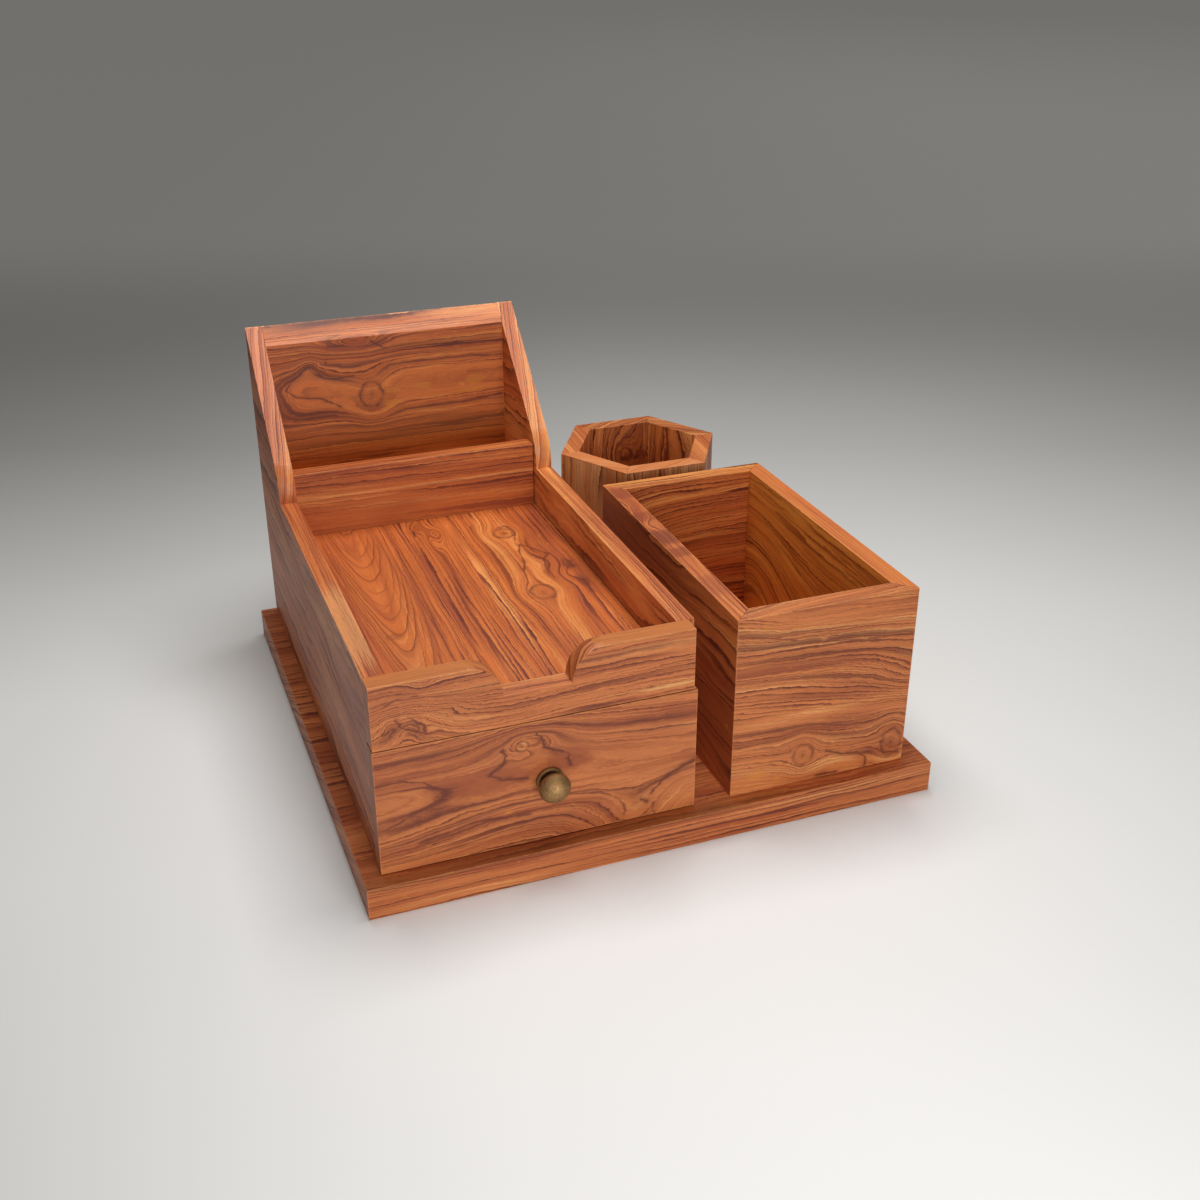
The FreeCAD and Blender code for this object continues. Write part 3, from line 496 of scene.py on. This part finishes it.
        "veins": [(50, 21, 1.2, 90, 0.9), (20, 11, 0.6, 60, 0.7), (60, 44, 0.8, 60, 0.7),
                  (30, 72, 1.0, 60, 0.7),
                  (60, 30, 1.4, 80, 0.6), (50, 78, 1.2, 60, 0.6), (84, 97, 0.6, 14, 1.0)],
        "tintsAndPaintedLight": [(60, 64, 60, 4, 0.25), (50, 32, 60, 6, -0.15), (50, 75, 60, 6, -0.15),
                  (85, 98, 14, 4, -0.3)]}),
    "note_box_right": ("-y", "-z", {
        "seed": 15.0, "ringMm": 6.0, "depth": 2.8, "wanderMm": 4.0, "swells": [(26, 78, 46, 45, 48)],
        "light": "#f6ae4a", "mid": "#e48a34", "deep": "#c66a22", "line": "#944614", "ringDark": 0.6,
        "stainsAndShadows": [(96, 0, 999, 1.0, "#c8643c", 0.55)],
        "tintsAndPaintedLight": [(96, -3, 400, 6, 0.1)]}),
    "note_box_back": ("+x", "-z", {"seed": 16.0, "swells": [(-4, 40, 30, 30, -20)],
                                   "light": "#ec9a4e", "mid": "#d27234", "deep": "#ac5224", "line": "#803416",
                                   "tintsAndPaintedLight": [(60, -3, 400, 5, 0.25)]}),
    "note_box_left": ("-y", "-z", {
        "seed": 17.0, "crossing": 0.4, "raggedMm": 0.5,
        "swells": [(35, -1, 12, 2.2, -5), (66, -1, 9, 2.2, 6)],
        "stainsAndShadows": [(16, 0, 9, 0.8, "#7c321a", 0.6), (54, 0, 7, 0.8, "#7c321a", 0.5),
                   (84, 0, 10, 0.8, "#6e2a16", 0.7),
                   (106, 0, 6, 0.8, "#7c321a", 0.6), (150, 0, 12, 0.8, "#9a4c28", 0.5)],
        # Painted shade: the broad dark tint over the lower wall stands for the shade in the narrow gap beside the
        # cabinet
        "tintsAndPaintedLight": [(96, 70, 999, 40, -0.45), (20, 20, 60, 20, -0.2)]}),
    "note_box_floor": ("-y", "+x", {"seed": 18.0}),
    "cup_floor": ("-y", "+x", {"seed": 19.0}),
}
for node, (along, across, own) in boards.items():
    dress(node, teak(node, axes[along], axes[across], **own))
    ease(node, 0.3)
print("boards dressed:", len(boards))

# Cup staves: turn of each round the cup in degrees, and what differs from the plain board
paleStave = {"light": "#f8b87c", "mid": "#e6975a", "deep": "#c0703c", "ringMm": 4.5, "tone": 0.2,
             "ringPick": 0.5, "stainsAndShadows": [(0, 20, 0.8, 999, "#d27438", 0.65)]}
shadeStave = {"light": "#f0a460", "mid": "#cc7236", "deep": "#8e4019", "line": "#6e2a0e", "ringMm": 4.2,
              "waverMm": 4.0, "ringPick": 0.4, "ringDark": 1.0}
staves = {
    "right_back": (60, {**shadeStave, "tone": 0.1, "swells": [(20, 14, 24, 12, 10)]}),
    "back": (120, {**shadeStave, "swells": [(22, 26, 16, 10, -14)], "knots": [(26, 10, 3, 2, 0.7)]}),
    "left_back": (180, {}),
    "left_front": (240, {**paleStave, "ringMm": 7.0, "bandMm": 14.0, "calms": [(40, 20, 90, 9)]}),
    "front": (300, paleStave),
    "right_front": (360, {}),
}
for i, (side, (turn, own)) in enumerate(staves.items()):
    middle = math.radians(turn - 30)
    across = Vector((-math.sin(middle), math.cos(middle), 0))
    node = "cup_stave_" + side
    dress(node, teak(node, axes["-z"], across, **{"seed": 30.0 + i, "depth": 2.0, **own}))
    ease(node, 0.3)
print("cup staves dressed:", len(staves))


def turnedMetal(name, look, axisAt=None):
    # Metal turned on a lathe: cloudy lacquer, rings round the axis, drawn coarser than a tool leaves them so
    # that they show, and a dark patina in the hollows
    material, tree = newMaterial(name)
    coordinates = addNode(tree, "TexCoord").outputs["Object"]
    start = Vector(axisAt) if axisAt else Vector((0, 0, 0))
    mm = addNode(tree, "Mapping", {"Vector": coordinates, "Location": -start * mmPerM,
                                   "Scale": (mmPerM,) * 3})
    clouds = addNode(tree, "TexNoise", {"Vector": mm, "Scale": 1 / look["cloudMm"], "Detail": 3.0,
                                        "Roughness": 0.6})
    specks = addNode(tree, "TexNoise", {"Vector": mm, "Scale": 1 / look["speckMm"], "Detail": 1.0})
    place = addNode(tree, "SeparateXYZ", {0: mm})
    across = addNode(tree, "CombineXYZ", {0: place.outputs[0], 1: place.outputs[2]})
    radius = addNode(tree, "VectorMath", {0: across}, operation="LENGTH").outputs["Value"]
    lathe = addNode(tree, "CombineXYZ", {0: radius, 1: place.outputs[1]})
    rings = addNode(tree, "TexNoise", {"Vector": lathe, "Scale": 1 / look["ringMm"], "Detail": 1.0})
    colour = addNode(tree, "ValToRGB", {0: clouds}, stops=[
        (0.3, linear(look["dull"])), (0.7, linear(look["bright"]))]).outputs[0]
    dirt = addNode(tree, "MapRange", {0: specks, 1: 0.58, 2: 0.72, 3: 0.0, 4: 0.5},
                   interpolation_type="SMOOTHSTEP")
    if axisAt:
        # Patina lies near the seat and round the neck, and thins out on the crown
        height = addNode(tree, "Math", {0: place.outputs[1], 1: -1.0}, operation="MULTIPLY")
        low = addNode(tree, "MapRange", {0: height, 1: look["seatMm"], 2: look["crownMm"], 3: 0.75, 4: 0.0},
                      interpolation_type="SMOOTHSTEP")
        inner = addNode(tree, "MapRange", {0: radius, 1: look["neckMm"], 2: look["rimMm"], 3: 1.0, 4: 0.25},
                        interpolation_type="SMOOTHSTEP")
        hollow = addNode(tree, "Math", {0: low, 1: inner}, operation="MULTIPLY")
        dirt = addNode(tree, "Math", {0: dirt, 1: hollow}, operation="MAXIMUM")
    colour = addNode(tree, "Mix", {0: dirt, 6: colour, 7: linear(look["patina"])}, data_type="RGBA")
    gloss = addNode(tree, "MapRange", {0: clouds, 1: 0.3, 2: 0.7, 3: look["roughHigh"],
                                       4: look["roughLow"]})
    bump = addNode(tree, "Bump", {"Height": rings, "Strength": 0.12, "Distance": 0.00005})
    shader = addNode(tree, "BsdfPrincipled", {"Base Color": colour.outputs[2], "Roughness": gloss,
                                              "Metallic": 1.0, "Normal": bump})
    addNode(tree, "OutputMaterial", {0: shader})
    return material


# Antiqued brass of the knob and its rosette: brown-gold, satin, almost black in the groove
antiqueBrass = {"bright": "#b08b5e", "dull": "#8e6f48", "patina": "#3a2814", "cloudMm": 4.0, "speckMm": 0.7,
                "ringMm": 0.5, "roughLow": 0.55, "roughHigh": 0.66,
                "seatMm": 1.2, "crownMm": 6.5, "neckMm": 4.5, "rimMm": 6.2}
knobLow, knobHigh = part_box("knob")
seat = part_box("knob_rosette")[1].y
knobAxis = ((knobLow.x + knobHigh.x) / 2, seat, (knobLow.z + knobHigh.z) / 2)
knobBrass = turnedMetal("antiqued_brass", antiqueBrass, knobAxis)
dress("knob", knobBrass)
dress("knob_rosette", knobBrass)

# Plain brass of the wood screws: yellower and brighter, a little tarnished
screwBrass = {"bright": "#d8b46c", "dull": "#b68d48", "patina": "#5c4320", "cloudMm": 2.5, "speckMm": 0.5,
              "ringMm": 0.5, "roughLow": 0.28, "roughHigh": 0.4}
plainBrass = turnedMetal("screw_brass", screwBrass)
for held in ("drawer_front", "drawer_bottom", "cabinet", "note_box", "cup"):
    dress(held + "_screws", plainBrass)

# Zinc-plated steel of the knob's machine screw: cold grey with dull spangles
zincSteel = {"bright": "#c4c7ca", "dull": "#9b9fa3", "patina": "#6d6a64", "cloudMm": 1.5, "speckMm": 0.4,
             "ringMm": 0.5, "roughLow": 0.26, "roughHigh": 0.4}
dress("knob_screw", turnedMetal("zinc_plated_steel", zincSteel))


def beech(name, along):
    # Beech, turned and unfinished: pale pinkish tan with short brown flecks along the grain
    look = {"pale": "#dcb98f", "tan": "#c79c6e", "fleck": "#9c6b43",
            "fleckMm": (4.0, 0.5), "bandMm": (60.0, 3.0)}
    material, tree = newMaterial(name)
    coordinates = addNode(tree, "TexCoord").outputs["Object"]

    def streaks(long, wide):
        scale = [mmPerM / (long if abs(part) > 0.5 else wide) for part in along]
        place = addNode(tree, "Mapping", {"Vector": coordinates, "Scale": scale})
        return addNode(tree, "TexNoise", {"Vector": place, "Scale": 1.0, "Detail": 2.0})

    flecks = addNode(tree, "MapRange", {0: streaks(*look["fleckMm"]), 1: 0.58, 2: 0.68, 3: 0.0, 4: 0.8})
    colour = addNode(tree, "ValToRGB", {0: streaks(*look["bandMm"])}, stops=[
        (0.3, linear(look["tan"])), (0.7, linear(look["pale"]))])
    colour = addNode(tree, "Mix", {0: flecks, 6: colour, 7: linear(look["fleck"])}, data_type="RGBA")
    gloss = addNode(tree, "MapRange", {0: flecks, 3: 0.6, 4: 0.75})
    bump = addNode(tree, "Bump", {"Height": flecks, "Strength": 0.2, "Distance": 0.0001,
                                  "Filter Width": 0.5})
    shader = addNode(tree, "BsdfPrincipled", {"Base Color": colour.outputs[2], "Roughness": gloss,
                                              "Normal": bump})
    addNode(tree, "OutputMaterial", {0: shader})
    return material


sideBeech = beech("beech_across", axes["+x"])
dress("tray_floor_dowels", sideBeech)
dress("back_panel_dowels", sideBeech)
dress("tray_front_dowels", beech("beech_lengthwise", axes["+y"]))
print("fittings dressed")

# Floor of the studio: pale paper with painted light on it, a pool brightest in front of the object, and painted
# shade that darkens it to the left and further back; it turns into a plain grey backdrop. Stops are (metres
# back from the object's middle, colour), the paper with that painted fall-off; light bounces off it as off a
# greyer sheet.
floorLook = {"reachM": 9.0, "turn": -20.85, "bounce": "#a5a29d", "cloudMm": 420.0,
             "backdropLeft": "#72716e", "backdropRight": "#7d7c79", "horizon": "#71706d",
             # painted light and shade left of the object: (metres back, share of the paper's colour kept)
             "leftPaintedShade": [(-0.43, 0.77), (-0.3, 0.85), (-0.18, 0.93), (0.0, 0.95), (0.18, 0.81), (0.44, 0.7)],
             # the paper's colour from front to back, with a painted fall-off of the light further back
             "stops": [(-0.5, "#eae9e7"), (-0.3, "#f0efed"), (-0.05, "#efeeec"), (0.15, "#eae9e6"),
                       (0.45, "#d3d1ce"), (0.95, "#c6c4c1")]}
reach = floorLook["reachM"]
floorMesh = bpy.data.meshes.new("floor")
floorMesh.from_pydata([(-reach, -reach, 0), (reach, -reach, 0), (reach, reach, 0), (-reach, reach, 0)],
                      [], [(0, 1, 2, 3)])
floor = bpy.data.objects.new("floor", floorMesh)
scene.collection.objects.link(floor)
material, tree = newMaterial("pale_paper_floor_painted_light")
coordinates = addNode(tree, "TexCoord").outputs["Object"]
turned = addNode(tree, "Mapping", {"Vector": coordinates, "Rotation": (0, 0, -math.radians(floorLook["turn"]))})
place = addNode(tree, "SeparateXYZ", {0: turned})
first, last = floorLook["stops"][0][0], floorLook["stops"][-1][0]
back = addNode(tree, "MapRange", {0: place.outputs[1], 1: first, 2: last})
paperAndPaintedLight = addNode(tree, "ValToRGB", {0: back}, stops=[
    ((at - first) / (last - first), linear(shade)) for at, shade in floorLook["stops"]])
clouds = addNode(tree, "TexNoise", {"Vector": coordinates, "Scale": mmPerM / floorLook["cloudMm"], "Detail": 2.0})
soft = addNode(tree, "MapRange", {0: clouds, 1: 0.3, 2: 0.7, 3: 0.97, 4: 1.0})
# Painted shade: the floor left of the object is darkened along a ramp that runs back from it
left = addNode(tree, "MapRange", {0: place.outputs[0], 1: 0.05, 2: -0.4}, interpolation_type="SMOOTHSTEP")
paintedShade = addNode(tree, "ValToRGB", {0: back}, stops=[
    ((at - first) / (last - first), (shade, shade, shade, 1)) for at, shade in floorLook["leftPaintedShade"]])
paintedShade = addNode(tree, "Math", {0: paintedShade, 1: 1.0}, operation="SUBTRACT")
side = addNode(tree, "Math", {0: left, 1: paintedShade, 2: 1.0}, operation="MULTIPLY_ADD")
level = addNode(tree, "Math", {0: soft, 1: side}, operation="MULTIPLY")
paperAndPaintedLight = addNode(tree, "VectorMath", {0: paperAndPaintedLight, "Scale": level}, operation="SCALE")
path = addNode(tree, "LightPath")
seen = path.outputs["Is Camera Ray"]
for ray in ("Is Glossy Ray", "Is Transmission Ray"):
    seen = addNode(tree, "Math", {0: seen, 1: path.outputs[ray]}, operation="MAXIMUM")
colour = addNode(tree, "Mix", {0: seen, 6: linear(floorLook["bounce"]), 7: paperAndPaintedLight}, data_type="RGBA").outputs[2]
sheet = addNode(tree, "BsdfPrincipled", {"Base Color": colour, "Roughness": 0.7, "Specular IOR Level": 0.2})
wall = addNode(tree, "MapRange", {0: place.outputs[0], 1: -0.9, 2: 0.9}, interpolation_type="SMOOTHSTEP")
wall = addNode(tree, "Mix", {0: wall, 6: linear(floorLook["backdropLeft"]), 7: linear(floorLook["backdropRight"])},
               data_type="RGBA").outputs[2]
radius = addNode(tree, "VectorMath", {0: turned}, operation="LENGTH").outputs["Value"]
rim = addNode(tree, "MapRange", {0: radius, 1: 2.2, 2: 5.2}, interpolation_type="SMOOTHSTEP")
wall = addNode(tree, "Mix", {0: rim, 6: wall, 7: linear(floorLook["horizon"])}, data_type="RGBA").outputs[2]
glow = addNode(tree, "Emission", {"Color": wall})
far = addNode(tree, "MapRange", {0: place.outputs[1], 1: 0.5, 2: 1.3}, interpolation_type="SMOOTHSTEP")
away = addNode(tree, "MapRange", {0: radius, 1: 1.2, 2: 2.6}, interpolation_type="SMOOTHSTEP")
ahead = addNode(tree, "MapRange", {0: place.outputs[1], 1: -0.5, 2: -1.1}, interpolation_type="SMOOTHSTEP")
for part in (away, ahead):
    far = addNode(tree, "Math", {0: far, 1: part}, operation="MAXIMUM")
far = addNode(tree, "Math", {0: far, 1: seen}, operation="MULTIPLY")
shader = addNode(tree, "MixShader", {0: far, 1: sheet, 2: glow})
addNode(tree, "OutputMaterial", {0: shader})
floorMesh.materials.append(material)


def softBox(name, size, power, place, target):
    # Square studio soft box that looks at its target
    lamp = bpy.data.lights.new(name, "AREA")
    lamp.size = size
    lamp.energy = power
    light = bpy.data.objects.new(name, lamp)
    light.location = place
    light.rotation_euler = (Vector(target) - Vector(place)).to_track_quat("-Z", "Y").to_euler()
    scene.collection.objects.link(light)


softBox("top_light", 0.5, 6.2, (0.04, 0.04, 0.9), (0.06, -0.1, 0))
softBox("front_light", 0.45, 3.5, (-0.08, -0.85, 0.24), (0.0, -0.1, 0.06))

world = bpy.data.worlds.new("studio")
scene.world = world
world.use_nodes = True
tree = world.node_tree
tree.nodes.clear()
# Soft light from all round; looked at directly it is the backdrop's grey
sky = addNode(tree, "Background", {"Color": linear("#dcdad6"), "Strength": 0.2})
wall = addNode(tree, "Background", {"Color": linear(floorLook["horizon"])})
path = addNode(tree, "LightPath")
light = addNode(tree, "MixShader", {0: path.outputs["Is Camera Ray"], 1: sky, 2: wall})
addNode(tree, "OutputWorld", {0: light})

# Camera at the photograph's place and angle
cameraLook = {"place": (-0.25539, -0.73075, 0.46649), "pitch": 63.0347, "yaw": -20.8511, "lens": 43.511}
lens = bpy.data.cameras.new("camera")
lens.lens = cameraLook["lens"]
lens.sensor_width = 36.0
lens.clip_end = 50.0
camera = bpy.data.objects.new("camera", lens)
camera.location = cameraLook["place"]
camera.rotation_euler = (math.radians(cameraLook["pitch"]), 0, math.radians(cameraLook["yaw"]))
scene.collection.objects.link(camera)
scene.camera = camera
print("studio and camera set")
